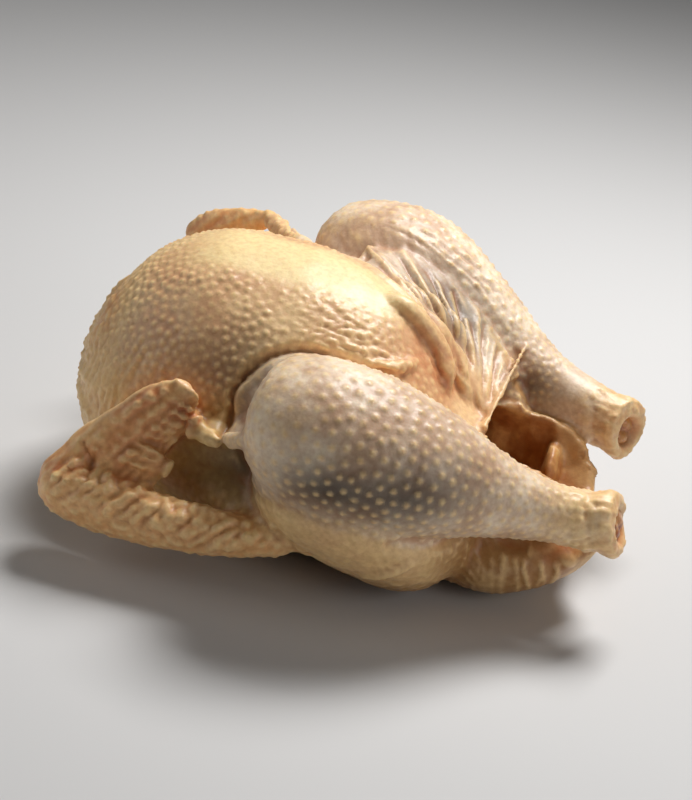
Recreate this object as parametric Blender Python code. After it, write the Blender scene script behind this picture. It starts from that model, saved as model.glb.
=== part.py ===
"""A whole raw chicken lying on its back, as one closed solid.

+X runs from the neck to the tail, +Y to the bird's left and +Z up. The origin is on
the surface it rests on, below the middle of its back. Sizes are in millimetres here
and become metres where a mesh is made.
"""

import math

import bmesh
import bpy
from mathutils import Vector

MM = 0.001
RING = 40  # points round each section
STEPS = 7  # rings between two stations
FINE_VOXEL = 1.6 * MM
LEAN = 0.03  # how far the trunk leans sideways for each millimetre of height
SPINE_HEIGHT = 42
TRIANGLES = 9600
SKIN_COLOUR = (0.62, 0.42, 0.25, 1)


def clear_scene():
    for thing in list(bpy.data.objects):
        bpy.data.objects.remove(thing)


def smooth_between(values, place):
    """A Catmull-Rom curve through equally spaced tuples of numbers."""
    last = len(values) - 1
    start = min(int(place), last - 1)
    t = place - start
    before, here = values[max(start - 1, 0)], values[start]
    after, beyond = values[start + 1], values[min(start + 2, last)]
    return [
        0.5 * (2 * b + (c - a) * t + (2 * a - 5 * b + 4 * c - d) * t * t
               + (3 * b - a - 3 * c + d) * t ** 3)
        for a, b, c, d in zip(before, here, after, beyond)
    ]


def skin_rings(name, rings):
    """A closed object skinned over rings of points, with a point in each end's middle."""
    mesh = bmesh.new()
    loops = [[mesh.verts.new(Vector(p) * MM) for p in ring] for ring in rings]
    for one, other in zip(loops, loops[1:]):
        for i in range(len(one)):
            j = (i + 1) % len(one)
            mesh.faces.new((one[i], one[j], other[j], other[i]))
    for loop in (loops[0], loops[-1]):
        middle = mesh.verts.new(sum((v.co for v in loop), Vector()) / len(loop))
        for i in range(len(loop)):
            mesh.faces.new((loop[i], loop[(i + 1) % len(loop)], middle))
    bmesh.ops.recalc_face_normals(mesh, faces=mesh.faces)
    data = bpy.data.meshes.new(name)
    mesh.to_mesh(data)
    mesh.free()
    shape = bpy.data.objects.new(name, data)
    bpy.context.scene.collection.objects.link(shape)
    return shape


def trunk(stations):
    """stations: x, bottom, widest height, top, half width, peak. peak above 1 points the top."""
    rings = []
    for step in range((len(stations) - 1) * STEPS + 1):
        x, low, waist, high, half, peak = smooth_between(stations, step / STEPS)
        ring = []
        for i in range(RING):
            turn = 2 * math.pi * i / RING
            side, rise = math.sin(turn), math.cos(turn)
            power = peak if rise > 0 else 0.72
            y = half * math.copysign(abs(side) ** power, side)
            z = waist + (high - waist if rise > 0 else waist - low) * math.copysign(abs(rise) ** power, rise)
            ring.append((x, y - LEAN * (z - SPINE_HEIGHT), z))
        rings.append(ring)
    return skin_rings("trunk", rings)


def limb(name, stations, up=(0, 0, 1), steps=STEPS):
    """stations: x, y, z, half width, half height. up turns each section's height."""
    middles, sizes = [], []
    for step in range((len(stations) - 1) * steps + 1):
        *middle, wide, tall = smooth_between(stations, step / steps)
        middles.append(Vector(middle))
        sizes.append((max(wide, 0.5), max(tall, 0.5)))
    rings = []
    for i, (middle, (wide, tall)) in enumerate(zip(middles, sizes)):
        along = (middles[min(i + 1, len(middles) - 1)] - middles[max(i - 1, 0)]).normalized()
        across = along.cross(Vector(up)).normalized()
        height = across.cross(along)
        rings.append([
            middle + across * wide * math.cos(2 * math.pi * k / RING)
            + height * tall * math.sin(2 * math.pi * k / RING)
            for k in range(RING)
        ])
    return skin_rings(name, rings)


def make_trunk():
    return trunk([
        (-116, 44, 54, 63, 10, 1.0),
        (-113, 31, 52, 76, 27, 1.0),
        (-104, 18, 49, 93, 42, 1.0),
        (-88, 9, 48, 109, 54, 0.98),
        (-64, 2, 46, 119, 62, 1.0),
        (-38, -2, 46, 120, 65, 1.04),
        (-12, -4, 46, 117, 64, 1.06),
        (12, -4, 44, 109, 58, 1.04),
        (30, -4, 40, 92, 54, 1.0),
        (44, -4, 34, 74, 50, 1.0),
        (62, -3, 30, 64, 46, 0.95),
        (79, 0, 30, 63, 41, 0.9),
        (92, 6, 31, 60, 33, 0.9),
        (100, 14, 32, 52, 22, 0.95),
        (103, 22, 32, 42, 8, 1.0),
    ])


def make_tail():
    return limb("tail", [
        (52, -12, 20, 14, 10),
        (66, -19, 18, 30, 18),
        (83, -22, 21, 27, 17),
        (99, -24, 26, 17, 12),
        (110, -25, 30, 7, 5),
        (114, -26, 31, 2, 2),
    ])


def make_near_leg():
    thigh = limb("near thigh", [
        (60, -30, 30, 8, 10),
        (52, -36, 31, 22, 22),
        (40, -42, 33, 32, 31),
        (24, -52, 44, 36, 34),
        (8, -62, 56, 34, 33),
        (-8, -67, 68, 24, 25),
        (-18, -69, 74, 6, 6),
    ])
    drumstick = limb("near drumstick", [
        (-25, -69, 79, 6, 6),
        (-19, -69, 78, 21, 20),
        (-4, -70, 76, 29, 28),
        (18, -69, 72, 31, 30),
        (42, -64, 65, 27, 27),
        (64, -55, 58, 18.5, 19),
        (84, -46, 52, 13, 13.5),
        (100, -41, 49, 10.5, 11.5),
        (114, -38, 48, 11.5, 13),
        (121, -36.5, 47, 11, 12.5),
        (123, -36, 47, 7, 8),
    ])
    return [thigh, drumstick]


def make_far_leg():
    thigh = limb("far thigh", [
        (60, 24, 30, 8, 10),
        (54, 30, 32, 26, 28),
        (40, 42, 42, 36, 36),
        (20, 52, 58, 38, 38),
        (0, 58, 76, 32, 34),
        (-14, 60, 88, 20, 20),
        (-20, 60, 92, 6, 6),
    ])
    drumstick = limb("far drumstick", [
        (-42, 60, 98, 6, 6),
        (-36, 60, 98, 18, 17),
        (-21, 61, 97, 28, 26),
        (0, 60, 93, 31, 30),
        (24, 56, 84, 27, 26),
        (46, 50, 75, 20, 20),
        (70, 43, 66, 13.5, 14),
        (90, 38, 61, 11, 12),
        (104, 36, 57, 12, 13.5),
        (112, 35, 54, 11.5, 13),
        (115, 34.5, 53, 7, 8),
    ])
    return [thigh, drumstick]


def make_near_wing():
    upper_arm = limb("near upper arm", [
        (-84, -34, 46, 14, 12),
        (-72, -44, 43, 15, 13),
        (-50, -55, 37, 13, 12),
        (-28, -64, 33, 10, 10),
        (-12, -71, 30, 8, 9),
        (-4, -74, 29, 3, 4),
    ])
    forearm = limb("near forearm", [
        (2, -78, 28, 3, 3),
        (-5, -79, 28, 7, 7),
        (-28, -84, 28, 8, 9.5),
        (-54, -86, 28, 8.5, 11.5),
        (-80, -84, 29, 10, 13),
        (-98, -80, 32, 10, 13),
        (-106, -77, 35, 3, 6),
    ])
    hand = limb("near hand", [
        (-103, -78, 33, 4, 6),
        (-95, -78, 36, 8, 10),
        (-83, -76, 45, 6.5, 14),
        (-70, -74, 56, 5.5, 15),
        (-60, -71, 69, 4.5, 13),
        (-52, -69, 78, 3.5, 7),
        (-49, -68, 81, 1.5, 2),
    ])
    web = limb("near wing web", [
        (-100, -79, 38, 2, 3),
        (-90, -79, 42, 4, 9),
        (-76, -79, 44, 3.5, 12),
        (-62, -78, 46, 3, 9),
        (-50, -77, 48, 1.5, 3),
    ])
    return [upper_arm, forearm, hand, web]


def make_far_wing():
    upper_arm = limb("far upper arm", [
        (-78, 40, 58, 14, 12),
        (-72, 52, 58, 15, 13),
        (-60, 66, 57, 13, 12),
        (-44, 76, 56, 10, 10),
        (-30, 82, 55, 8, 9),
        (-25, 84, 55, 3, 4),
    ])
    forearm = limb("far forearm", [
        (-14, 86, 54, 3, 4),
        (-20, 87, 55, 7.5, 8),
        (-42, 88, 61, 8, 10),
        (-66, 86, 68, 8.5, 12),
        (-88, 81, 75, 9, 12),
        (-101, 77, 80, 7, 9),
        (-106, 75, 82, 3, 4),
    ])
    hand = limb("far hand", [
        (-106, 75, 82, 4, 5),
        (-102, 74, 86, 6, 8),
        (-92, 73, 92, 5.5, 9),
        (-80, 71, 97, 5, 7.5),
        (-69, 69, 102, 4, 5),
        (-64, 68, 106, 2, 2),
    ])
    return [upper_arm, forearm, hand]


def make_folds():
    """Thick folds of loose skin between the breast's end and the legs."""
    long_rope = limb("long fold", [
        (10, 12, 106, 2, 2),
        (22, 15, 98, 5, 5),
        (34, 17, 86, 6, 6),
        (44, 16, 74, 5, 5),
        (52, 14, 66, 2, 2),
    ])
    outer_rope = limb("outer fold", [
        (26, 25, 96, 2, 2),
        (38, 27, 84, 5, 5),
        (50, 27, 72, 6, 6),
        (60, 25, 64, 4, 4),
        (66, 22, 60, 2, 2),
    ])
    flank = limb("flank fold", [
        (-62, -61, 62, 2, 2),
        (-52, -65, 62, 4, 3.5),
        (-38, -67, 62, 5, 4),
        (-26, -66, 64, 4, 3.5),
        (-16, -62, 66, 2, 2),
    ])
    return [long_rope, outer_rope, flank]


def make_pocket():
    """The open body cavity, from its mouth beside the tail to behind the breastbone."""
    return limb("pocket", [
        (130, 0, 61, 20, 24),
        (110, 0, 59, 20, 23),
        (94, 0, 56, 21, 22),
        (80, 0, 52, 23, 22),
        (64, 0, 46, 26, 21),
        (46, 0, 43, 29, 20),
        (20, 0, 45, 32, 24),
        (-8, 0, 48, 34, 28),
        (-36, 0, 50, 28, 24),
        (-54, 0, 50, 14, 12),
        (-58, 0, 50, 4, 4),
    ])


def make_leaf():
    """The fold of lining that hangs down inside the mouth of the cavity."""
    return limb("leaf", [
        (80, 27, 40, 2, 5),
        (82, 19, 39, 3.5, 11),
        (83, 13, 38, 3.5, 12),
        (83, 8, 36, 2.5, 9),
        (83, 5, 34, 1, 2),
    ], up=(0, 0, 1))


def add_modifier(shape, kind, **settings):
    modifier = shape.modifiers.new(kind.lower(), kind)
    for name, value in settings.items():
        setattr(modifier, name, value)
    return modifier


def apply_modifiers(shape):
    graph = bpy.context.evaluated_depsgraph_get()
    mesh = bpy.data.meshes.new_from_object(shape.evaluated_get(graph))
    shape.modifiers.clear()
    shape.data = mesh


def count_triangles(shape):
    return sum(len(face.vertices) - 2 for face in shape.data.polygons)


def join(shapes, name):
    whole = bmesh.new()
    for shape in shapes:
        whole.from_mesh(shape.data)
        bpy.data.objects.remove(shape)
    data = bpy.data.meshes.new(name)
    whole.to_mesh(data)
    whole.free()
    shape = bpy.data.objects.new(name, data)
    bpy.context.scene.collection.objects.link(shape)
    return shape


def flatten_rest(shape):
    """Slices the back level at the origin's height, so the bird has a flat place to lie on."""
    mesh = bmesh.new()
    mesh.from_mesh(shape.data)
    sliced = bmesh.ops.bisect_plane(
        mesh, geom=mesh.verts[:] + mesh.edges[:] + mesh.faces[:], dist=1e-6,
        plane_co=(0, 0, 0), plane_no=(0, 0, -1), clear_outer=True)
    rim = [piece for piece in sliced["geom_cut"] if isinstance(piece, bmesh.types.BMEdge)]
    bmesh.ops.edgeloop_fill(mesh, edges=rim)
    bmesh.ops.triangulate(mesh, faces=[face for face in mesh.faces if len(face.verts) > 4])
    bmesh.ops.recalc_face_normals(mesh, faces=mesh.faces)
    mesh.to_mesh(shape.data)
    mesh.free()


def make_material():
    material = bpy.data.materials.new("skin")
    material.use_nodes = True
    shader = material.node_tree.nodes["Principled BSDF"]
    shader.inputs["Base Color"].default_value = SKIN_COLOUR
    shader.inputs["Roughness"].default_value = 0.42
    return material


def main():
    clear_scene()
    pieces = [make_trunk(), make_tail(), *make_near_leg(), *make_far_leg(),
              *make_near_wing(), *make_far_wing(), *make_folds()]
    chicken = join(pieces, "chicken")
    add_modifier(chicken, "REMESH", mode="VOXEL", voxel_size=FINE_VOXEL)
    add_modifier(chicken, "SMOOTH", factor=0.5, iterations=6)
    apply_modifiers(chicken)

    pocket = make_pocket()
    add_modifier(chicken, "BOOLEAN", operation="DIFFERENCE", solver="EXACT", object=pocket)
    apply_modifiers(chicken)
    bpy.data.objects.remove(pocket)

    chicken = join([chicken, make_leaf()], "chicken")
    add_modifier(chicken, "REMESH", mode="VOXEL", voxel_size=FINE_VOXEL)
    add_modifier(chicken, "SMOOTH", factor=0.5, iterations=3)
    apply_modifiers(chicken)
    add_modifier(chicken, "DECIMATE", ratio=TRIANGLES / count_triangles(chicken))
    apply_modifiers(chicken)
    flatten_rest(chicken)
    chicken.data.materials.append(make_material())
    for face in chicken.data.polygons:
        face.use_smooth = True


main()
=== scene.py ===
import math
import random

import bmesh
import bpy
import numpy as np
from mathutils import Matrix, Vector, noise
from mathutils.bvhtree import BVHTree
from mathutils.kdtree import KDTree


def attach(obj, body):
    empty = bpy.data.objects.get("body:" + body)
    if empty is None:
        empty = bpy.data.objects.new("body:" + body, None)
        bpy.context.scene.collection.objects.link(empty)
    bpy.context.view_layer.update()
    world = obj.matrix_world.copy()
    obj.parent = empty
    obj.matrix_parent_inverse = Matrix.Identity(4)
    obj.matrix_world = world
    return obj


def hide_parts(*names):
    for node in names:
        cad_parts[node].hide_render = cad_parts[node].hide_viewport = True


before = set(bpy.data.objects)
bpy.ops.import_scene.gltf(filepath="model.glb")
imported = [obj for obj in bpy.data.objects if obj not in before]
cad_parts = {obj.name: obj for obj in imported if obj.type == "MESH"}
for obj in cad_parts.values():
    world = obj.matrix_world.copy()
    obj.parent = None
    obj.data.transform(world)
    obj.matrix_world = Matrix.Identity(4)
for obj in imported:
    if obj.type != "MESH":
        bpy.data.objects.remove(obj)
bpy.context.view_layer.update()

mm = 0.001
draw = random.Random(11)

# Each limb is a line of places with the limb's radius there, in millimetres.
limbs = {
    "nearLeg": [(-24, -69, 79, 14), (-4, -70, 76, 29), (18, -69, 72, 31), (42, -64, 65, 27.5),
                (64, -55, 58, 19), (84, -46, 52, 13.5), (100, -41, 49, 11.5), (123, -36, 47, 12.5)],
    "nearThigh": [(52, -36, 31, 22), (40, -42, 33, 32), (24, -52, 44, 36), (8, -62, 56, 34),
                  (-8, -67, 68, 25)],
    "farLeg": [(-40, 60, 98, 14), (-21, 61, 97, 28), (0, 60, 93, 31), (24, 56, 84, 27),
               (46, 50, 75, 20), (70, 43, 66, 14), (90, 38, 61, 11.5), (115, 35, 53, 13)],
    "nearForearm": [(2, -78, 28, 6), (-28, -84, 28, 10), (-54, -86, 28, 12), (-80, -84, 29, 13),
                    (-104, -78, 34, 11)],
    "nearHand": [(-100, -78, 36, 9), (-83, -76, 45, 14), (-70, -74, 56, 16), (-60, -71, 69, 14),
                 (-49, -68, 81, 5)],
    "farWing": [(-14, 86, 54, 6), (-42, 88, 61, 10), (-66, 86, 68, 12), (-88, 81, 75, 12), (-103, 75, 83, 8),
                (-80, 71, 97, 8), (-64, 68, 106, 3)],
    "pocket": [(110, 0, 59, 20), (94, 0, 56, 21.5), (80, 0, 52, 23), (64, 0, 46, 26), (46, 0, 43, 29),
               (20, 0, 45, 32), (-8, 0, 48, 34), (-36, 0, 50, 28), (-56, 0, 50, 12)],
    "keel": [(-96, -9, 100, 13), (-64, -10, 117, 14), (-27, -10, 117, 14), (6, -8, 111, 11), (27, -4, 96, 6),
             (38, -5, 84, 3)],
    "fanZone": [(-32, 32, 116, 13), (0, 30, 109, 18), (30, 18, 94, 19), (54, 6, 74, 14)],
    "farRim": [(62, 31, 68, 4), (71, 30, 65, 4), (85, 28, 61, 4.5), (91, 22, 52, 4.5), (98, 16, 42, 5)],
}
cavity = {"along": [-56, 20, 64, 110], "height": [50, 45, 46, 59]}  # the height of its middle line


def deselectAll():
    for other in bpy.context.selected_objects:
        other.select_set(False)


def selectOnly(piece):
    deselectAll()
    piece.select_set(True)
    bpy.context.view_layer.objects.active = piece


def applyModifier(piece, kind, **settings):
    selectOnly(piece)
    modifier = piece.modifiers.new(kind, kind)
    for name, value in settings.items():
        setattr(modifier, name, value)
    bpy.ops.object.modifier_apply(modifier=modifier.name)


def fade(value, nothing, full):
    t = np.clip((value - nothing) / (full - nothing), 0, 1)
    return t * t * (3 - 2 * t)


def alongLimb(places, limb):
    # Each place's distance from a limb's middle line, as a share of the limb's radius there,
    # and how far along the limb it is.
    ratio = np.full(len(places), 99.0)
    travelled = np.zeros(len(places))
    soFar = 0
    for here, after in zip(limb, limb[1:]):
        start = np.array(here[:3])
        along = np.array(after[:3]) - start
        length = np.linalg.norm(along)
        t = np.clip((places - start) @ along / length ** 2, 0, 1)
        gap = np.linalg.norm(places - start - t[:, None] * along, axis=1)
        share = gap / (here[3] + (after[3] - here[3]) * t)
        closer = share < ratio
        ratio[closer] = share[closer]
        travelled[closer] = soFar + t[closer] * length
        soFar += length
    return ratio, travelled


def near(places, middle, reach):
    return np.exp(-(np.linalg.norm((places - np.array(middle)) / np.array(reach), axis=1)) ** 2)


def lumps(places, size, shift=0.0):
    return np.array([noise.noise(place) for place in (places / size + shift).tolist()])


def grain(places, along, length, width, shift=0.0):
    # Lumps drawn out along one direction, as wrinkles are.
    way = np.array(along) / np.linalg.norm(along)
    spread = places / width + np.outer(places @ way, way) * (1 / length - 1 / width)
    return np.array([noise.noise(place) for place in (spread + shift).tolist()])


def readRegions(places, facing):
    # How far each place belongs to each part of the bird, from 0 to 1.
    region = {}
    for name in ("nearLeg", "nearThigh", "farLeg", "nearForearm", "nearHand", "farWing", "keel"):
        ratio, travelled = alongLimb(places, limbs[name])
        region[name] = fade(ratio, 1.17, 1.07)
        region[name + "Along"] = travelled
        region[name + "Ratio"] = ratio
    region["leg"] = np.maximum(region["nearLeg"], region["farLeg"])
    region["wing"] = np.maximum.reduce([region["nearForearm"], region["nearHand"], region["farWing"]])
    ratio = alongLimb(places, limbs["pocket"])[0]
    height = np.interp(places[:, 0], cavity["along"], cavity["height"])
    middle = np.stack([places[:, 0], np.zeros(len(places)), height], 1)
    inward = np.einsum("ij,ij->i", facing, middle - places) / (np.linalg.norm(middle - places, axis=1) + 0.01)
    region["lining"] = fade(ratio, 1.16, 1.04) * fade(inward, -0.25, 0.15) * fade(region["leg"], 0.9, 0.2)
    region["lining"] *= fade(places[:, 0], -70, -60)
    region["rim"] = fade(ratio, 1.45, 1.15) * fade(places[:, 0], 66, 80) * (1 - region["leg"])
    region["rim"] *= 1 - region["lining"]
    region["rim"] *= fade(places[:, 2], 36, 44)
    rimRatio = alongLimb(places, limbs["farRim"])[0]
    region["rim"] = np.maximum(region["rim"], fade(rimRatio, 1.9, 0.9) * (1 - region["farLeg"]))
    region["lining"] *= 1 - region["rim"]
    fanRatio = alongLimb(places, limbs["fanZone"])[0]
    region["fan"] = fade(fanRatio, 1.25, 0.85) * (1 - region["lining"])
    region["rump"] = fade(places[:, 0], 46, 66) * fade(places[:, 2], 44, 34) * (1 - region["leg"])
    region["band"] = fade(region["keelRatio"], 1.45, 0.8) * (1 - region["leg"])
    region["band"] = region["band"] * fade(places[:, 0], 30, 6) * fade(places[:, 0], -88, -54)
    return region


class Clay:
    # The skin as arrays in millimetres, pushed in and out along its normals.
    def __init__(self, piece):
        self.mesh = piece.data
        self.read()

    def read(self):
        count = len(self.mesh.vertices)
        flat = np.empty(count * 3)
        self.mesh.vertices.foreach_get("co", flat)
        self.places = flat.reshape(-1, 3) / mm
        flat = np.empty(count * 3)
        self.mesh.vertices.foreach_get("normal", flat)
        self.facing = flat.reshape(-1, 3)

    def push(self, lift):
        self.move(self.facing * lift[:, None])

    def move(self, shift):
        self.places += shift
        self.mesh.vertices.foreach_set("co", (self.places * mm).ravel())
        self.mesh.update()
        self.read()

    def tree(self):
        corners = [Vector(place) for place in self.places.tolist()]
        faces = [tuple(face.vertices) for face in self.mesh.polygons]
        return BVHTree.FromPolygons(corners, faces)


def fold(clay, surface, route, width, height, wander=0.0, blunt=0.5):
    # A ridge along a route on the skin. A height below 0 makes a crease.
    marks = []
    for start, end in zip(route, route[1:]):
        steps = max(2, int((Vector(end) - Vector(start)).length / 4))
        marks += [Vector(start).lerp(Vector(end), i / steps) for i in range(steps)]
    marks.append(Vector(route[-1]))
    seed = Vector((draw.random(), draw.random(), draw.random())) * 50
    snapped = []
    for i, mark in enumerate(marks):
        sway = noise.noise_vector(mark / 14 + seed) * wander
        snapped.append(np.array(surface.find_nearest(mark + sway)[0]))
    groups = [snapped[max(i - 1, 0):i + 2] for i in range(len(snapped))]
    snapped = [sum(group) / len(group) for group in groups]
    lift = np.zeros(len(clay.places))
    low = np.min(snapped, axis=0) - 3 * width
    high = np.max(snapped, axis=0) + 3 * width
    close = np.where(np.all((clay.places > low) & (clay.places < high), axis=1))[0]
    here = clay.places[close]
    best = np.full(len(close), 99.0)
    share = np.zeros(len(close))
    for i, (start, end) in enumerate(zip(snapped, snapped[1:])):
        along = end - start
        t = np.clip((here - start) @ along / max(along @ along, 1e-6), 0, 1)
        gap = np.linalg.norm(here - start - t[:, None] * along, axis=1)
        closer = gap < best
        best[closer] = gap[closer]
        share[closer] = (i + t[closer]) / (len(snapped) - 1)
    swell = np.sin(np.pi * np.clip(share, 0.001, 0.999)) ** blunt
    lift[close] = height * np.exp(-(best / width) ** 2) * swell
    return lift


skinSize = {
    "grid": 1.05,  # millimetres between points while it is shaped
    "triangles": 196000,
}

ropes = [
    # Route and radius in millimetres. A taut one runs straight through the air, and rise is
    # how far the others stand out of the skin, as a share of the radius.
    {"route": [(4, -8, 112), (14, -7, 106), (24, -6, 99), (31, -6, 91), (36, -9, 82), (41, -15, 75)],
     "radius": 3.5},
    {"route": [(16, 7, 105), (26, 5, 97), (35, 3, 87), (43, -1, 77), (49, -7, 70)], "radius": 3.1},
    {"route": [(10, -41, 94), (19, -37, 92), (25, -29, 91), (30, -17, 91)], "radius": 2.3},
    {"route": [(61, 38, 83), (60, 22, 79.5), (59, 4, 73), (57, -15, 65)], "radius": 1.5, "taut": True},
    {"route": [(-66, 67, 102), (-57, 58, 101), (-48, 44, 103), (-40, 32, 105), (-32, 22, 107)],
     "radius": 4.2, "rise": 0},
    {"route": [(-66, -60, 64), (-54, -66, 62), (-42, -71, 61), (-30, -75, 64), (-20, -80, 69),
               (-11, -84, 73)], "radius": 3.0},
]
fan = {
    # The sheet of stretched skin: where its ridges start on the far leg, pass and meet.
    "start": [(-12, 16, 116), (-10, 38, 116), (4, 42, 116), (22, 40, 108), (43, 37, 94), (57, 34, 81)],
    "pass": [(6, 2, 112), (15, 12, 108), (24, 20, 102), (34, 24, 94), (46, 23, 85), (57, 14, 76)],
    "meet": [(45, -4, 75), (48, -6, 73), (51, -8, 70), (54, -10, 68), (56, -11, 67), (57, -14, 66)],
    "thickness": 9,
    "count": 13,
    "stretch": [(-22, 46, 121), (24, 42, 106), (54, 37, 87)],  # fine lines round the far leg's near side
}
web = {
    # The thin skin between the taut string and the far drumstick.
    "edges": [[(57, 30, 79), (57, -13, 66)], [(64, 36, 70), (57, -13, 64)]],
    "thickness": 1.8,
    "scoop": 0.7,
}


def mixPlaces(one, other, t):
    return tuple(a + (b - a) * t for a, b in zip(one, other))


def onList(places, t):
    # The place at a share of the way along a list of places.
    step = min(int(t * (len(places) - 1)), len(places) - 2)
    return mixPlaces(places[step], places[step + 1], t * (len(places) - 1) - step)


def fanPlace(across, along):
    start, middle, end = [onList(fan[name], across) for name in ("start", "pass", "meet")]
    place = mixPlaces(mixPlaces(start, middle, along), mixPlaces(middle, end, along), along)
    return mixPlaces(place, middle, 0.4 * math.sin(math.pi * along))


def stretchFan(surface):
    deselectAll()
    bpy.ops.mesh.primitive_grid_add(x_subdivisions=36, y_subdivisions=36, size=2)
    sheet = bpy.context.object
    group = sheet.vertex_groups.new(name="thick")
    for point in sheet.data.vertices:
        across, along = (1 - point.co.y) / 2, (point.co.x + 1) / 2
        place = Vector(fanPlace(across, along)) * mm
        spot, facing = surface.find_nearest(place)[:2]
        above = (place - spot).dot(facing)
        edge = min(across, along, 1 - along)
        sunk = -3 * mm * max(0, 1 - edge / 0.08)
        if above < 0.6 * mm or (sunk < 0 and above < 6 * mm):
            place = spot + facing * (sunk + 0.6 * mm)
        point.co = place
        group.add([point.index], 1 - 0.8 * max(across, 0.9 * along) ** 2, "REPLACE")
    applyModifier(sheet, "SMOOTH", factor=0.5, iterations=2)
    applyModifier(sheet, "SOLIDIFY", thickness=fan["thickness"] * mm, offset=1, vertex_group="thick")
    return sheet


def layDown(route, rope, surface):
    # Lays a route on the skin with its ends sunk in. Where it spans a hollow, it stays up.
    radius = rope["radius"] * mm
    laid = []
    for place in route:
        spot, facing = surface.find_nearest(place)[:2]
        above = (place - spot).dot(facing)
        laid.append(spot + facing * radius * rope.get("rise", 0.5) if above < 3 * mm else place)
    for i in (0, -1):
        spot, facing = surface.find_nearest(laid[i])[:2]
        laid[i] = spot - facing * radius * 1.3
    return laid


def layRope(rope, number, surface):
    bpy.ops.curve.primitive_nurbs_path_add()
    curve = bpy.context.object
    curve.name = "rope%d" % number
    route = [Vector(place) * mm for place in rope["route"]]
    if not rope.get("taut"):
        route = layDown(route, rope, surface)
    route = [route[0]] + route + [route[-1]]
    spline = curve.data.splines[0]
    spline.points.add(max(0, len(route) - len(spline.points)))
    while len(route) < len(spline.points):
        route.insert(1, route[0])
    for i, (point, place) in enumerate(zip(spline.points, route)):
        point.co = (*place, 1)
        point.radius = 0.25 + math.sin(math.pi * i / (len(route) - 1)) ** 0.7 * draw.uniform(0.85, 1.15)
        if rope.get("taut"):
            point.radius = 1.25 - 0.5 * math.sin(math.pi * i / (len(route) - 1))
    spline.order_u = 3
    curve.data.resolution_u = 8
    curve.data.bevel_depth = rope["radius"] * mm
    curve.data.bevel_resolution = 4
    curve.data.use_fill_caps = True
    selectOnly(curve)
    bpy.ops.object.convert(target="MESH")
    return bpy.context.object


def stretchWeb():
    deselectAll()
    bpy.ops.mesh.primitive_grid_add(x_subdivisions=40, y_subdivisions=24, size=2)
    sheet = bpy.context.object
    for point in sheet.data.vertices:
        along, down = (point.co.x + 1) / 2, (point.co.y + 1) / 2
        upper, lower = [Vector(edge[0]).lerp(Vector(edge[1]), along) for edge in web["edges"]]
        down *= 1 - web["scoop"] * math.sin(math.pi * along)
        point.co = upper.lerp(lower, down) * mm
    applyModifier(sheet, "SOLIDIFY", thickness=web["thickness"] * mm, offset=0)
    return sheet


def keepLargest(piece):
    # Drops the closed pockets that the joined folds leave under the skin.
    mesh = bmesh.new()
    mesh.from_mesh(piece.data)
    unseen = set(mesh.verts)
    groups = []
    while unseen:
        group = [unseen.pop()]
        for vert in group:
            for edge in vert.link_edges:
                other = edge.other_vert(vert)
                if other in unseen:
                    unseen.discard(other)
                    group.append(other)
        groups.append(group)
    groups.sort(key=len)
    for group in groups[:-1]:
        bmesh.ops.delete(mesh, geom=group, context="VERTS")
    mesh.to_mesh(piece.data)
    mesh.free()


def startSkin():
    solid = bpy.data.objects["chicken"]
    piece = bpy.data.objects.new("chickenSkin", solid.data.copy())
    bpy.context.scene.collection.objects.link(piece)
    selectOnly(piece)
    bpy.ops.object.mode_set(mode="EDIT")
    bpy.ops.mesh.select_all(action="SELECT")
    bpy.ops.mesh.remove_doubles(threshold=0.00001)
    bpy.ops.object.mode_set(mode="OBJECT")
    applyModifier(piece, "SUBSURF", levels=1, render_levels=1)
    applyModifier(piece, "SMOOTH", factor=0.5, iterations=4)
    points = [point.co.copy() for point in piece.data.vertices]
    surface = BVHTree.FromPolygons(points, [tuple(face.vertices) for face in piece.data.polygons])
    laid = [layRope(rope, i, surface) for i, rope in enumerate(ropes)] + [stretchWeb(), stretchFan(surface)]
    selectOnly(piece)
    for rope in laid:
        rope.select_set(True)
    bpy.ops.object.join()
    piece.data.materials.clear()
    applyModifier(piece, "REMESH", mode="VOXEL", voxel_size=skinSize["grid"] * mm)
    keepLargest(piece)
    applyModifier(piece, "SMOOTH", factor=0.5, iterations=4)
    print("skin started with", len(piece.data.vertices), "points")
    return piece


folds = {
    "underLeg": [(36, -85, 40), (47, -80, 42), (60, -64, 38), (76, -46, 33), (90, -42, 33)],
    "thighNub": [(26, -78, 20), (38, -78, 26), (50, -74, 34)],
    "tailTip": (101, -34, 27),
    "rumpCount": 17,
    "rumpStart": 54,
    "rumpGap": 3.1,
    "rump": [(0, 52, 36), (2, 46, 20), (1, 34, 5)],  # shift along, distance from the middle, height
    "neckCount": 15,
    "neck": [(-96, 44, 38), (-108, 26, 22), (-117, 5, 5)],  # place along, reach sideways and upwards
    "neckEnd": (-116, 0, 54),
    "ruffleCount": 19,
    "quillCount": 9,
    "lead": [(-90, -84, 50), (-55, -70, 84)],
    "trail": [(-58, -82, 44), (-44, -67, 76)],
    "wristCrease": [(-92, -82, 55), (-86, -87, 48), (-80, -88, 42)],
}


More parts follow.
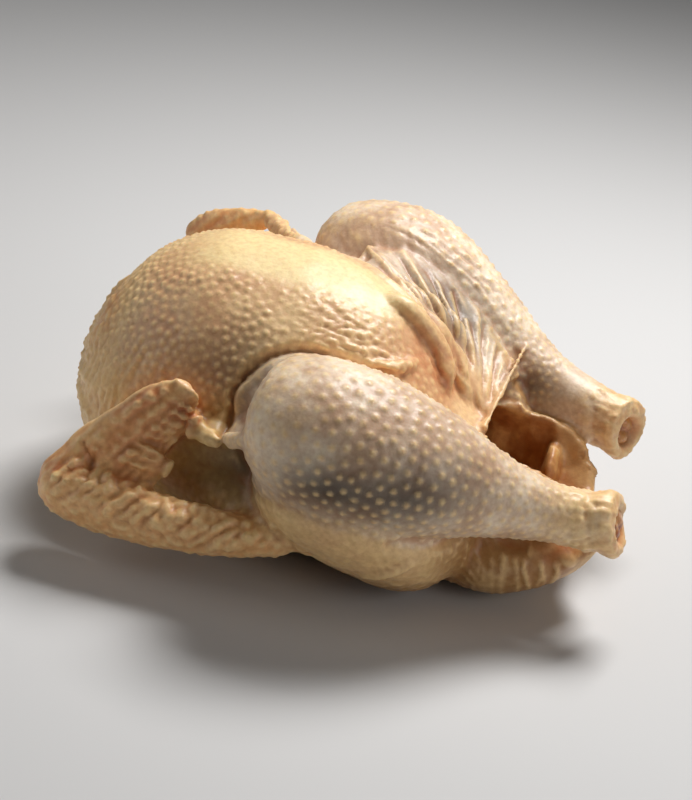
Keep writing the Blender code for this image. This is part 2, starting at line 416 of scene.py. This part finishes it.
def foldSkin(clay):
    surface = clay.tree()
    lift = np.zeros(len(clay.places))
    for i in range(fan["count"]):
        across = (i + draw.uniform(-0.2, 0.2)) / (fan["count"] - 0.6)
        first = draw.uniform(-0.1, 0.35)
        route = [fanPlace(max(0, across), first + (1 - first) * j / 8) for j in range(9)]
        lift += fold(clay, surface, route, draw.uniform(0.9, 1.7), draw.uniform(0.7, 2.4), wander=1.6)
        if i % 2:
            route = [fanPlace(across + 0.04, 0.1 + 0.9 * j / 8) for j in range(9)]
            lift += fold(clay, surface, route, 1.4, draw.uniform(-2.0, -1.0), wander=1.2)
    for i in range(6):
        route = [(x + 7 * i, y + 1.6 * i, z - i) for x, y, z in fan["stretch"][:2]] + [fan["stretch"][2]]
        lift += fold(clay, surface, route, draw.uniform(0.9, 1.2), draw.uniform(0.4, 0.9), wander=2.0)
    lift += fold(clay, surface, folds["underLeg"], 3.6, -3.2, wander=1.0)
    lift += fold(clay, surface, folds["thighNub"], 2.0, 2.2, wander=1.5)
    for i in range(folds["rumpCount"]):
        x = folds["rumpStart"] + folds["rumpGap"] * i + draw.uniform(-2, 2)
        for side in (-1, 1):
            route = [(x + shift, side * out, z) for shift, out, z in folds["rump"]]
            lift += fold(clay, surface, route, draw.uniform(0.8, 1.3), draw.uniform(0.1, 0.7), wander=4.5)
    for i in range(folds["neckCount"]):
        turn = 2 * math.pi * (i + draw.uniform(-0.3, 0.3)) / folds["neckCount"]
        y, z = math.cos(turn), math.sin(turn)
        middle = folds["neckEnd"][2]
        route = [(x, wide * y, middle + tall * z) for x, wide, tall in folds["neck"]]
        lift += fold(clay, surface, route, draw.uniform(2, 3), draw.uniform(1.0, 2.2), wander=4.0)
    neckGap = np.linalg.norm(clay.places - np.array(folds["neckEnd"]), axis=1)
    lift += 2.2 * np.exp(-((neckGap - 15) / 4) ** 2) - 12 * np.exp(-(neckGap / 8.5) ** 2)
    lift += 6 * near(clay.places, folds["tailTip"], (3.5, 4, 2.6))
    ruffleWings(clay, surface, lift)
    clay.push(lift)
    print("folds done")


def ruffleWings(clay, surface, lift):
    # Rows of raised skin along the flat, and quill lines across the hand with a scalloped edge.
    lift += fold(clay, surface, folds["wristCrease"], 1.8, -2.2, wander=1.5)
    for i in range(folds["ruffleCount"]):
        x = -94 + 4.6 * i + draw.uniform(-1, 1)
        lean = draw.uniform(9, 14)
        high = np.interp(x, [-98, -54, -5], [45, 42, 36])
        for side, rise in ((-1, 0), (1, np.interp(x, [-100, -20], [46, 30]))):
            route = [(x + 3, side * 88, high + rise), (x - lean * 0.4, side * 95, high + rise - 7),
                     (x - lean, side * 96, high + rise - 15)]
            lift += fold(clay, surface, route, draw.uniform(1.2, 1.7), draw.uniform(1.0, 2.0), wander=2.0)
            for row in range(4):
                bead = mixPlaces(route[0], route[2], row / 3 + draw.uniform(-0.08, 0.08))
                spot = surface.find_nearest(Vector(bead))[0]
                height = draw.uniform(0.8, 2.0) * (1 - 0.18 * row)
                lift += height * near(clay.places, spot, (1.8, 2.4, 1.6))
    for i in range(folds["quillCount"]):
        t = (i + 0.5) / folds["quillCount"]
        lead = mixPlaces(*folds["lead"], t)
        trail = mixPlaces(*folds["trail"], t)
        route = [mixPlaces(lead, trail, 0.4), mixPlaces(lead, trail, 0.7), mixPlaces(lead, trail, 1.05)]
        lift += fold(clay, surface, route, draw.uniform(1.1, 1.4), draw.uniform(1.3, 2.0), wander=1.0)
        for row in range(3):
            bead = mixPlaces(lead, trail, draw.uniform(-0.05, 0.12) + 0.14 * row)
            bead = surface.find_nearest(Vector(bead))[0]
            lift += draw.uniform(0.5, 1.0) * near(clay.places, bead, (1.4, 1.4, 1.4))
        spot = surface.find_nearest(Vector(mixPlaces(lead, trail, 1.1)))[0]
        lift += draw.uniform(1.4, 2.2) * near(clay.places, spot, (1.9, 1.9, 1.9))


wrinkles = {
    # Patches of lines: the patch's middle and reach, how high the lines stand, and the way they
    # run with their length, width and a shift of the pattern. Each leaves out one part of the bird.
    "rear": {"without": "leg", "middle": (2, -38, 100), "reach": (26, 17, 14), "height": 2.1,
             "lines": ((0.87, 0.42, -0.25), 8, 2.5, 3)},
    "between": {"without": "lining", "middle": (34, -6, 86), "reach": (22, 18, 18), "height": 1.2,
                "lines": ((0.7, -0.3, -0.65), 10, 3.0, 5)},
}


def wrinkleSkin(clay):
    places = clay.places
    region = readRegions(places, clay.facing)
    lift = 1.1 * lumps(places, 38, 3) + 0.45 * lumps(places, 17) + 0.18 * lumps(places, 7, 9)
    lift *= 1 - 0.5 * region["lining"]
    for name in ("nearLeg", "farLeg"):  # the body dips where a leg lies against it
        dip = np.exp(-((region[name + "Ratio"] - 1.14) / 0.06) ** 2)
        joined = np.maximum(region["fan"], near(places, (-24, -77, 67), (11, 9, 8)))
        lift -= 3.2 * dip * fade(places[:, 2], 40, 62) * fade(places[:, 0], 52, 30) * (1 - joined)
    for patch in wrinkles.values():
        share = near(places, patch["middle"], patch["reach"]) * (1 - region[patch["without"]])
        lift += share * patch["height"] * np.abs(grain(places, *patch["lines"]))
    lift += region["fan"] * 0.5 * grain(places, (0.6, -0.5, -0.6), 16, 1.9, 12)
    for side in (-1, 1):
        neck = near(places, (-94, side * 48, 60), (18, 22, 30)) * (1 - region["wing"])
        lift += neck * 1.1 * grain(places, (0.35, -0.2 * side, 1), 15, 2.3, 8)
        knee = near(places, (-16, side * 82, 84 + 10 * side), (16, 14, 22))
        lift += knee * 0.35 * grain(places, (0.8, 0.2, 0.6), 12, 2.2, 8)
    lift += region["nearThigh"] * (1 - region["nearLeg"]) * 0.5 * grain(places, (1, -0.3, -0.9), 9, 2.2, 4)
    lift += region["lining"] * (1.2 * lumps(places, 9, 4) + 0.6 * grain(places, (0, 0.4, 1), 14, 4, 6))
    lift += region["rim"] * 1.3 * lumps(places, 7, 14)
    lift += (region["wing"] - region["nearHand"]) * 0.7 * grain(places, (0.72, 0, 0.5), 9, 2.8, 1)
    lift += region["nearHand"] * 1.1 * grain(places, (0.6, 0.1, 0.75), 14, 2.6, 7)
    clay.push(lift)
    print("wrinkles done")


follicle = {
    # Gap and height are in millimetres, and radius is a share of the gap.
    "breast": {"gap": 4.1, "height": 0.85, "radius": 0.33},
    "leg": {"gap": 5.2, "height": 0.85, "radius": 0.26},
    "shank": {"gap": 3.8, "height": 0.6, "radius": 0.31},
    "wing": {"gap": 4.6, "height": 0.5, "radius": 0.3},
    # Where the skin is nearly bare: the patch's middle and reach.
    "bareBreast": ((30, 2, 92), (30, 20, 24)),
    "bareFlank": ((-34, -58, 44), (38, 26, 17)),
}


def downLeg(name, shank):
    # A follicle value that changes from the thick of the leg to the shank.
    return follicle["leg"][name] + (follicle["shank"][name] - follicle["leg"][name]) * shank


def follicleField(places, facing):
    # How far apart the follicles are at each place, and how high they stand.
    region = readRegions(places, facing)
    gap = np.full(len(places), follicle["breast"]["gap"])
    height = np.full(len(places), follicle["breast"]["height"])
    radius = np.full(len(places), follicle["breast"]["radius"])
    height *= 1 - 0.85 * region["band"]
    height *= 0.45 + 0.55 * fade(lumps(places, 24, 31), -0.35, 0.25)
    for name in ("nearLeg", "farLeg"):
        along = region[name + "Along"]
        shank = fade(along, 74, 112)
        ankle = fade(along, 150, 138) if name == "nearLeg" else fade(along, 134, 118)
        legHeight = downLeg("height", shank) * (0.35 + 0.65 * fade(along, 12, 42)) * ankle
        gap += (downLeg("gap", shank) - gap) * region[name]
        height += (legHeight - height) * region[name]
        radius += (downLeg("radius", shank) - radius) * region[name]
    thigh = region["nearThigh"] * (1 - region["nearLeg"])
    height *= 1 - 0.85 * thigh
    gap += (follicle["wing"]["gap"] - gap) * region["wing"]
    height += (follicle["wing"]["height"] - height) * region["wing"]
    radius += (follicle["wing"]["radius"] - radius) * region["wing"]
    height *= 1 - 0.85 * region["nearHand"]
    height *= 1 - 0.8 * region["wing"] * fade(places[:, 0], -84, -94)
    height *= (1 - 0.9 * region["rump"]) * (1 - region["lining"]) * (1 - region["rim"])
    height *= fade(places[:, 2], 3, 14)
    height *= 1 - 0.9 * near(places, *follicle["bareBreast"])
    height *= 1 - 0.95 * region["fan"]
    height *= 1 - 0.9 * near(places, *follicle["bareFlank"]) * (1 - region["wing"])
    return gap, height, gap * radius


def treeOf(marks):
    tree = KDTree(len(marks))
    for i, mark in enumerate(marks):
        tree.insert(mark, i)
    tree.balance()
    return tree


def scatterFollicles(clay):
    gap, height = follicleField(clay.places, clay.facing)[:2]
    order = [i for i in range(0, len(clay.places), 3) if height[i] > 0.06]
    draw.shuffle(order)
    cells = {}
    chosen = []
    for i in order:
        place = clay.places[i]
        reach = gap[i] * 0.78
        cell = tuple((place // 6).astype(int))
        crowded = False
        for x in (-1, 0, 1):
            for y in (-1, 0, 1):
                for z in (-1, 0, 1):
                    for other in cells.get((cell[0] + x, cell[1] + y, cell[2] + z), ()):
                        if not crowded and sum((clay.places[other] - place) ** 2) < reach * reach:
                            crowded = True
        if not crowded:
            cells.setdefault(cell, []).append(i)
            chosen.append(i)
    marks = [Vector(clay.places[i]) for i in chosen]
    gaps = [gap[i] for i in chosen]
    surface = clay.tree()
    for turn in range(7):  # they push each other into even rows
        tree = treeOf(marks)
        moved = []
        for i, mark in enumerate(marks):
            shift = Vector()
            for other, j, distance in tree.find_n(mark, 7):
                if j != i and distance < gaps[i] * 1.1:
                    shift += (mark - other) / max(distance, 0.01) * (gaps[i] * 1.1 - distance) * 0.3
            moved.append(surface.find_nearest(mark + shift)[0])
        marks = moved
    print("follicles:", len(marks))
    return marks


def follicleShape(places, facing, marks):
    gap, height, radius = follicleField(places, facing)
    tree = treeOf(marks)
    size = [0.75 + 0.4 * draw.random() for mark in marks]
    dome = np.zeros(len(places))
    for i, place in enumerate(places.tolist()):
        if height[i] > 0.04:
            j, distance = tree.find(place)[1:]
            reach = distance / radius[i]
            if reach < 2.4:
                dome[i] = math.exp(-reach * reach) * size[j]
    return dome, height


hocks = {
    "near": {"end": (120, -37, 48), "cut": (0.95, -0.12, 0.28), "hollow": 1.8},
    "far": {"end": (110.5, 34, 55), "cut": (0.86, -0.46, 0.12), "hollow": 3.4},
    "rim": 8.0,
}


def cutHocks(clay):
    lift = np.zeros_like(clay.places)
    for hock in (hocks["near"], hocks["far"]):
        cut = np.array(hock["cut"]) / np.linalg.norm(hock["cut"])
        away = clay.places - np.array(hock["end"])
        close = np.linalg.norm(away, axis=1) < 24
        depth = away @ cut
        side = np.linalg.norm(away - np.outer(depth, cut), axis=1)
        lift -= cut * (np.maximum(depth, 0) * 0.92 * close)[:, None]
        depth = np.minimum(depth, 0)
        capped = fade(depth, -5, -1.5) * close
        ripple = 1 + 0.3 * lumps(clay.places, 7, 21)
        hollow = -hock["hollow"] * fade(side, hocks["rim"], hocks["rim"] * 0.6) * ripple
        lift += cut * (hollow * capped)[:, None]
        outer = fade(depth, -5.5, -2.5) * close * (side > hocks["rim"])
        ring = np.exp(-((depth + 8.5) / 1.5) ** 2) * close * fade(side, 6, 9)
        lift += clay.facing * ((outer * 0.8 - ring * 0.6) * ripple)[:, None]
        rucks = grain(clay.places, cut, 14, 2.2, 5) * fade(depth, -26, -10) * close * fade(side, 6, 9)
        lift += clay.facing * (rucks * 0.8)[:, None]
    clay.move(lift)
    print("hocks done")


def readRelief(piece, clay):
    # How far each point stands above or below the skin around it, in millimetres.
    ends = np.array([edge.vertices[:] for edge in piece.data.edges])
    share = np.zeros(len(clay.places))
    np.add.at(share, ends, 1)
    smooth = clay.places.copy()
    for turn in range(9):
        total = np.zeros_like(smooth)
        np.add.at(total, ends[:, 0], smooth[ends[:, 1]])
        np.add.at(total, ends[:, 1], smooth[ends[:, 0]])
        smooth = smooth * 0.4 + total / share[:, None] * 0.6
    return np.einsum("ij,ij->i", clay.places - smooth, clay.facing)


def relaxSharp(piece):
    # Evens out the few points whose faces fold back on each other.
    mesh = bmesh.new()
    mesh.from_mesh(piece.data)
    for turn in range(5):
        mesh.normal_update()
        sharp = [vert for vert in mesh.verts
                 if min(face.normal.dot(vert.normal) for face in vert.link_faces) < 0.2]
        around = {vert.index: vert for point in sharp for edge in point.link_edges for vert in edge.verts}
        moved = []
        for vert in around.values():
            places = [edge.other_vert(vert).co for edge in vert.link_edges]
            moved.append((vert, sum(places, Vector()) / len(places)))
        for vert, place in moved:
            vert.co = vert.co.lerp(place, 0.7)
    mesh.to_mesh(piece.data)
    mesh.free()
    print("sharp points left:", len(sharp))


tones = {
    # Soft patches of colour: strength, middle and reach in millimetres.
    # dark patches: meat showing through thin leg skin, and painted shade over the fan and in the pocket under
    # the near wing
    "meatAndShade": [(1, (38, -88, 66), (36, 20, 14)), (0.75, (12, -94, 68), (15, 10, 10)),
             (0.8, (66, 32, 66), (14, 14, 9)), (0.5, (-38, -60, 88), (26, 16, 16)),
             (0.85, (26, 24, 96), (34, 18, 20)), (0.9, (-22, -66, 50), (22, 22, 14)),
             (0.7, (40, 88, 82), (26, 14, 11))],
    "blush": [(0.7, (34, -14, 88), (18, 16, 18)), (0.9, (-96, 74, 90), (26, 14, 22)),
              (0.8, (-104, -30, 84), (8, 16, 14)), (0.7, (98, -38, 34), (9, 12, 8))],
    "handBlush": (1, (-52, -72, 80), (14, 14, 12)),
    "hockReach": (9, 12, 12),
}


def tonePatches(places, patches):
    return sum(strength * near(places, middle, reach) for strength, middle, reach in patches)


def finishSkin(piece, marks):
    count = sum(len(face.vertices) - 2 for face in piece.data.polygons)
    applyModifier(piece, "DECIMATE", ratio=min(1, skinSize["triangles"] / count))
    relaxSharp(piece)
    selectOnly(piece)
    bpy.ops.object.shade_smooth()
    clay = Clay(piece)
    under = np.maximum(0.05 - clay.places[:, 2], 0)  # the skin rests on the floor
    clay.move(np.outer(under, (0, 0, 1)))
    dome, height = follicleShape(clay.places, clay.facing, marks)
    region = readRegions(clay.places, clay.facing)
    places = clay.places
    # dark meat under thin skin, partly painted shade on the fan and under the near wing
    meatAndShadeTone = tonePatches(places, tones["meatAndShade"])
    blush = tonePatches(places, tones["blush"]) + 0.6 * region["nearHand"] + 0.3 * region["nearForearm"]
    blush += region["nearHand"] * tonePatches(places, [tones["handBlush"]])
    for hock in (hocks["near"], hocks["far"]):
        blush += near(places, hock["end"], tones["hockReach"])
    flank = fade(places[:, 2], 84, 58) * fade(places[:, 0], 24, -10)
    flank = flank * (1 - region["leg"]) * (1 - region["wing"])
    # relief feeds painted shade in creases and a painted highlight on raised skin
    relief = readRelief(piece, clay)
    goldenAndLitNeck = region["nearThigh"] * (1 - region["nearLeg"])
    goldenAndLitNeck = np.maximum(goldenAndLitNeck, region["leg"] * fade(places[:, 0], 84, 108))
    goldenAndLitNeck = np.maximum(goldenAndLitNeck, region["nearLeg"] * fade(places[:, 2], 56, 40) * fade(places[:, 0], 60, 20))
    # the neck end is lightened with this colour as painted light from the left
    goldenAndLitNeck = np.maximum(goldenAndLitNeck, fade(places[:, 0], -84, -100) * (1 - region["wing"]))
    dome = dome * fade(height, 0.03, 0.4) * (1 - 0.3 * region["leg"])
    masks = {
        "goldenAndLitNeck": goldenAndLitNeck,
        # painted shade: skin below its surroundings is darkened with a brown
        "creaseShade": fade(relief, -0.02, -0.6),
        # painted highlight: skin above its surroundings is lightened with pale yellow
        "ridgeHighlight": fade(relief, 0.05, 0.55),
        "dome": dome * (1 - 0.6 * np.clip(meatAndShadeTone, 0, 1)),
        # pale yellow fat along the keel, brightened as a painted highlight along the breast ridge
        "fatAndHighlight": region["band"] * (1 - 0.8 * region["fan"]),
        # dark meat tone, partly painted shade
        "meatAndShade": meatAndShadeTone,
        "blush": blush,
        "flank": flank,
        "lining": region["lining"],
        "rim": region["rim"],
        # the rump's brown skin, and below 26 mm all skin but the wings as painted shade, darker towards the
        # floor
        "rump": np.maximum(region["rump"], fade(places[:, 2], 26, 8) * (1 - region["wing"])),
        "legSkin": np.maximum(region["leg"], region["fan"] * fade(places[:, 1], 2, 16)),
        "wingSkin": region["wing"],
    }
    for name, values in masks.items():
        layer = piece.data.attributes.new(name, "FLOAT", "POINT")
        layer.data.foreach_set("value", np.clip(values, 0, 1).astype(np.float32))
    print("skin finished with", sum(len(face.vertices) - 2 for face in piece.data.polygons), "triangles")


class Flow:
    # A socket that Python's operators work on.
    def __init__(self, tree, socket):
        self.tree = tree
        self.socket = socket

    def math(self, kind, *others):
        node = self.tree.nodes.new("ShaderNodeMath")
        node.operation = kind
        for slot, value in zip(node.inputs, (self, *others)):
            connect(self.tree, slot, value)
        return Flow(self.tree, node.outputs[0])

    def __add__(self, other):
        return self.math("ADD", other)

    def __radd__(self, other):
        return self.math("ADD", other)

    def __mul__(self, other):
        return self.math("MULTIPLY", other)

    def __rmul__(self, other):
        return self.math("MULTIPLY", other)


def connect(tree, slot, value):
    if isinstance(value, Flow):
        tree.links.new(value.socket, slot)
    else:
        slot.default_value = value


class Maker:
    # Adds nodes to one material.
    def __init__(self, name):
        self.material = bpy.data.materials.new(name)
        self.material.use_nodes = True
        self.tree = self.material.node_tree
        self.shader = self.tree.nodes["Principled BSDF"]

    def add(self, kind, settings=None, output=0, **slots):
        node = self.tree.nodes.new(kind)
        for name, value in (settings or {}).items():
            setattr(node, name, value)
        for name, value in slots.items():
            connect(self.tree, node.inputs[name.replace("_", " ")], value)
        return Flow(self.tree, node.outputs[output])

    def mask(self, name):
        return self.add("ShaderNodeAttribute", {"attribute_name": name}, output="Fac")

    def spots(self, scale, detail):
        place = self.add("ShaderNodeTexCoord", output="Object")
        return self.add("ShaderNodeTexNoise", Vector=place, Scale=scale, Detail=detail, Roughness=0.55)

    def between(self, value, low, high):
        return self.add("ShaderNodeMapRange", {"interpolation_type": "SMOOTHSTEP"}, Value=value,
                        From_Min=low, From_Max=high)

    def blend(self, share, one, other, kind="MIX"):
        node = self.tree.nodes.new("ShaderNodeMix")
        node.data_type = "RGBA"
        node.blend_type = kind
        node.clamp_factor = True
        connect(self.tree, node.inputs[0], share)
        connect(self.tree, node.inputs[6], one)
        connect(self.tree, node.inputs[7], other)
        return Flow(self.tree, node.outputs[2])

    def finish(self, **slots):
        for name, value in slots.items():
            connect(self.tree, self.shader.inputs[name.replace("_", " ")], value)
        return self.material


def colour(red, green, blue):
    # Everyday colour values from 0 to 255, as the linear ones that shaders use.
    parts = [value / 255 for value in (red, green, blue)]
    return (*[p / 12.92 if p <= 0.04045 else ((p + 0.055) / 1.055) ** 2.4 for p in parts], 1)


skinLook = {
    "pale": colour(240, 204, 154),
    "rosy": colour(220, 170, 126),
    "legPale": colour(252, 234, 208),
    "legRosy": colour(204, 170, 140),
    # golden thigh and shank skin; also painted light on the neck end
    "goldenAndLitNeck": colour(246, 208, 148),
    # fat colour, also a painted highlight along the breast ridge
    "fatAndHighlight": colour(250, 228, 168),
    "dome": colour(246, 214, 152),
    # painted highlight colour for raised folds and bumps
    "ridgeHighlight": colour(250, 216, 156),
    # painted shade colour for creases and hollows
    "creaseShade": colour(170, 102, 50),
    # near-black: meat under thin skin and painted shade
    "meatAndShade": colour(50, 41, 32),
    "blush": colour(208, 112, 58),
    "flank": colour(226, 188, 110),
    "lining": colour(180, 120, 66),
    "liningPale": colour(218, 168, 104),
    "rim": colour(200, 154, 98),
    # brown of the rump's skin, also used as painted shade on the underside
    "rump": colour(162, 114, 58),
    "wing": colour(250, 198, 130),
    "mottle": colour(170, 110, 70),
}
gristleLook = {"pale": colour(206, 146, 84), "dark": colour(150, 84, 38)}


def makeSkin():
    maker = Maker("rawSkin")
    look = skinLook
    broad = maker.spots(28, 2)
    middling = maker.spots(95, 3)
    small = maker.spots(420, 3)
    patches = maker.between(middling, 0.25, 0.65)
    base = maker.blend(maker.between(broad, 0.35, 0.68), look["pale"], look["rosy"])
    legPatches = maker.between(broad * 0.6 + middling * 0.4, 0.35, 0.62)
    leg = maker.blend(legPatches, look["legPale"], look["legRosy"])
    base = maker.blend(maker.mask("legSkin") * 0.9, base, leg)
    base = maker.blend(maker.mask("wingSkin") * 0.85, base, look["wing"])
    base = maker.blend(maker.mask("flank") * maker.between(middling, 0.2, 0.6) * 0.9, base, look["flank"])
    # golden thigh and shank, and painted light on the neck end
    base = maker.blend(maker.mask("goldenAndLitNeck") * (0.55 + 0.4 * patches), base, look["goldenAndLitNeck"])
    # rump brown; on the underside near the floor it is painted shade
    base = maker.blend(maker.mask("rump") * 0.9, base, look["rump"])
    # yellow fat along the keel and a painted highlight on the breast ridge
    base = maker.blend(maker.mask("fatAndHighlight") * 0.85, base, look["fatAndHighlight"])
    base = maker.blend(maker.mask("blush") * patches * 0.85, base, look["blush"])
    # dark meat under thin skin, and painted shade on the fan and under the near wing
    base = maker.blend(maker.mask("meatAndShade") * maker.between(broad, 0.15, 0.45) * 0.9, base, look["meatAndShade"])
    # painted highlight: raised skin lightened with pale yellow
    base = maker.blend(maker.mask("ridgeHighlight") * 0.6, base, look["ridgeHighlight"])
    # painted shade: creases darkened with brown
    base = maker.blend(maker.mask("creaseShade") * 0.5, base, look["creaseShade"])
    base = maker.blend(maker.mask("dome") * 0.45, base, look["dome"])
    inside = maker.blend(maker.between(middling, 0.4, 0.72), look["lining"], look["liningPale"])
    base = maker.blend(maker.mask("lining"), base, inside)
    base = maker.blend(maker.mask("rim") * 0.9, base, look["rim"])
    tint = maker.between(small, 0.3, 0.75)
    base = maker.blend(tint * 0.24, base, look["mottle"], "MULTIPLY")
    gloss = 0.34 + 0.2 * maker.spots(60, 2) + 0.06 * small
    ripples = maker.spots(900, 3) * 0.35 + maker.spots(330, 4) * 0.65
    bump = maker.add("ShaderNodeBump", Strength=0.4, Distance=0.0006, Height=ripples)
    return maker.finish(Base_Color=base, Roughness=gloss, Normal=bump, Subsurface_Weight=0.14,
                        Subsurface_Scale=0.0018, Subsurface_Radius=(1.0, 0.42, 0.22),
                        Specular_IOR_Level=0.45, Coat_Weight=0.12, Coat_Roughness=0.22)


def makeGristle():
    maker = Maker("gristle")
    cloudy = maker.spots(180, 3)
    base = maker.blend(maker.between(cloudy, 0.35, 0.65), gristleLook["pale"], gristleLook["dark"])
    bump = maker.add("ShaderNodeBump", Strength=0.3, Distance=0.0005, Height=maker.spots(700, 3))
    return maker.finish(Base_Color=base, Roughness=0.3 + 0.2 * cloudy, Normal=bump, Subsurface_Weight=0.18,
                        Subsurface_Scale=0.002, Coat_Weight=0.2)


knob = {"radius": 6.8, "dip": 3.0, "dipWidth": 1.8, "depth": 0.9}  # millimetres


def addGristle(name, hock, spin):
    # The two rounded ends of the bone with the dip between them.
    deselectAll()
    bpy.ops.mesh.primitive_uv_sphere_add(segments=40, ring_count=24, radius=knob["radius"] * mm)
    piece = bpy.context.object
    piece.name = name
    for point in piece.data.vertices:
        x, y, z = point.co / mm
        dip = knob["dip"] * math.exp(-(y / knob["dipWidth"]) ** 2)
        uneven = noise.noise(Vector((x, y, z)) / 3.1 + Vector((spin * 7, 3, 1))) * 1.1
        shrink = (knob["radius"] - dip * max(0, x) / knob["radius"] + uneven) / knob["radius"]
        point.co = Vector((x * 0.55 * shrink, y * 1.08 * shrink, z * 0.88 * shrink)) * mm
    cut = Vector(hock["cut"]).normalized()
    turn = cut.to_track_quat("X", "Z").to_matrix().to_4x4() @ Matrix.Rotation(spin, 4, "X")
    place = Matrix.Translation((Vector(hock["end"]) - cut * (hock["hollow"] + knob["depth"])) * mm)
    piece.data.transform(place @ turn)
    selectOnly(piece)
    bpy.ops.object.shade_smooth()
    return piece


skin = startSkin()
clay = Clay(skin)
foldSkin(clay)
wrinkleSkin(clay)
cutHocks(clay)
marks = scatterFollicles(clay)
dome, height = follicleShape(clay.places, clay.facing, marks)
clay.push(dome * height)
finishSkin(skin, marks)
skin.data.materials.append(makeSkin())
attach(skin, "root")
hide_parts("chicken")

gristle = makeGristle()
for name, hock, spin in (("gristleNear", hocks["near"], 0.5), ("gristleFar", hocks["far"], 1.2)):
    piece = addGristle(name, hock, spin)
    piece.data.materials.append(gristle)
    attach(piece, "root")

stage = {
    "floorColour": (0.62, 0.61, 0.6, 1),
    "key": {"place": (0.15, 0.34, 0.8), "size": 0.35, "power": 9.2},
    "fill": {"place": (0.8, -0.4, 0.4), "size": 0.5, "power": 1.7},
    "side": {"place": (-0.8, -0.3, 0.4), "size": 0.6, "power": 1.5},
    "world": 0.03,
    "aim": (-0.005, 0, 0.0565),
    "azimuth": 14,
    "elevation": 25,
    "roll": 7,
    "distance": 0.85,
    "lens": 91.07,
}


def addFloor():
    deselectAll()
    bpy.ops.mesh.primitive_plane_add(size=6)
    floor = bpy.context.object
    floor.name = "floor"
    maker = Maker("paleFloor")
    maker.finish(Base_Color=stage["floorColour"], Roughness=0.8)
    floor.data.materials.append(maker.material)


def addLamp(name, place, size, power):
    bpy.ops.object.light_add(type="AREA", location=place)
    lamp = bpy.context.object
    lamp.name = name
    lamp.data.size = size
    lamp.data.energy = power
    lamp.rotation_euler = (Vector(stage["aim"]) - Vector(place)).to_track_quat("-Z", "Y").to_euler()


def addCamera():
    azimuth, elevation, roll = [math.radians(stage[name]) for name in ("azimuth", "elevation", "roll")]
    back = Vector((math.sin(azimuth) * math.cos(elevation), -math.cos(azimuth) * math.cos(elevation),
                   math.sin(elevation)))
    turn = back.to_track_quat("Z", "Y").to_matrix().to_4x4() @ Matrix.Rotation(roll, 4, "Z")
    bpy.ops.object.camera_add()
    camera = bpy.context.object
    camera.matrix_world = Matrix.Translation(Vector(stage["aim"]) + back * stage["distance"]) @ turn
    camera.data.lens = stage["lens"]
    bpy.context.scene.camera = camera


addFloor()
addLamp("keyLamp", **stage["key"])
addLamp("fillLamp", **stage["fill"])
addLamp("sideLamp", **stage["side"])
addCamera()
world = bpy.data.worlds.new("studio")
world.use_nodes = True
world.node_tree.nodes["Background"].inputs["Color"].default_value = (1, 1, 1, 1)
world.node_tree.nodes["Background"].inputs["Strength"].default_value = stage["world"]
bpy.context.scene.world = world
bpy.context.scene.view_settings.view_transform = "Standard"
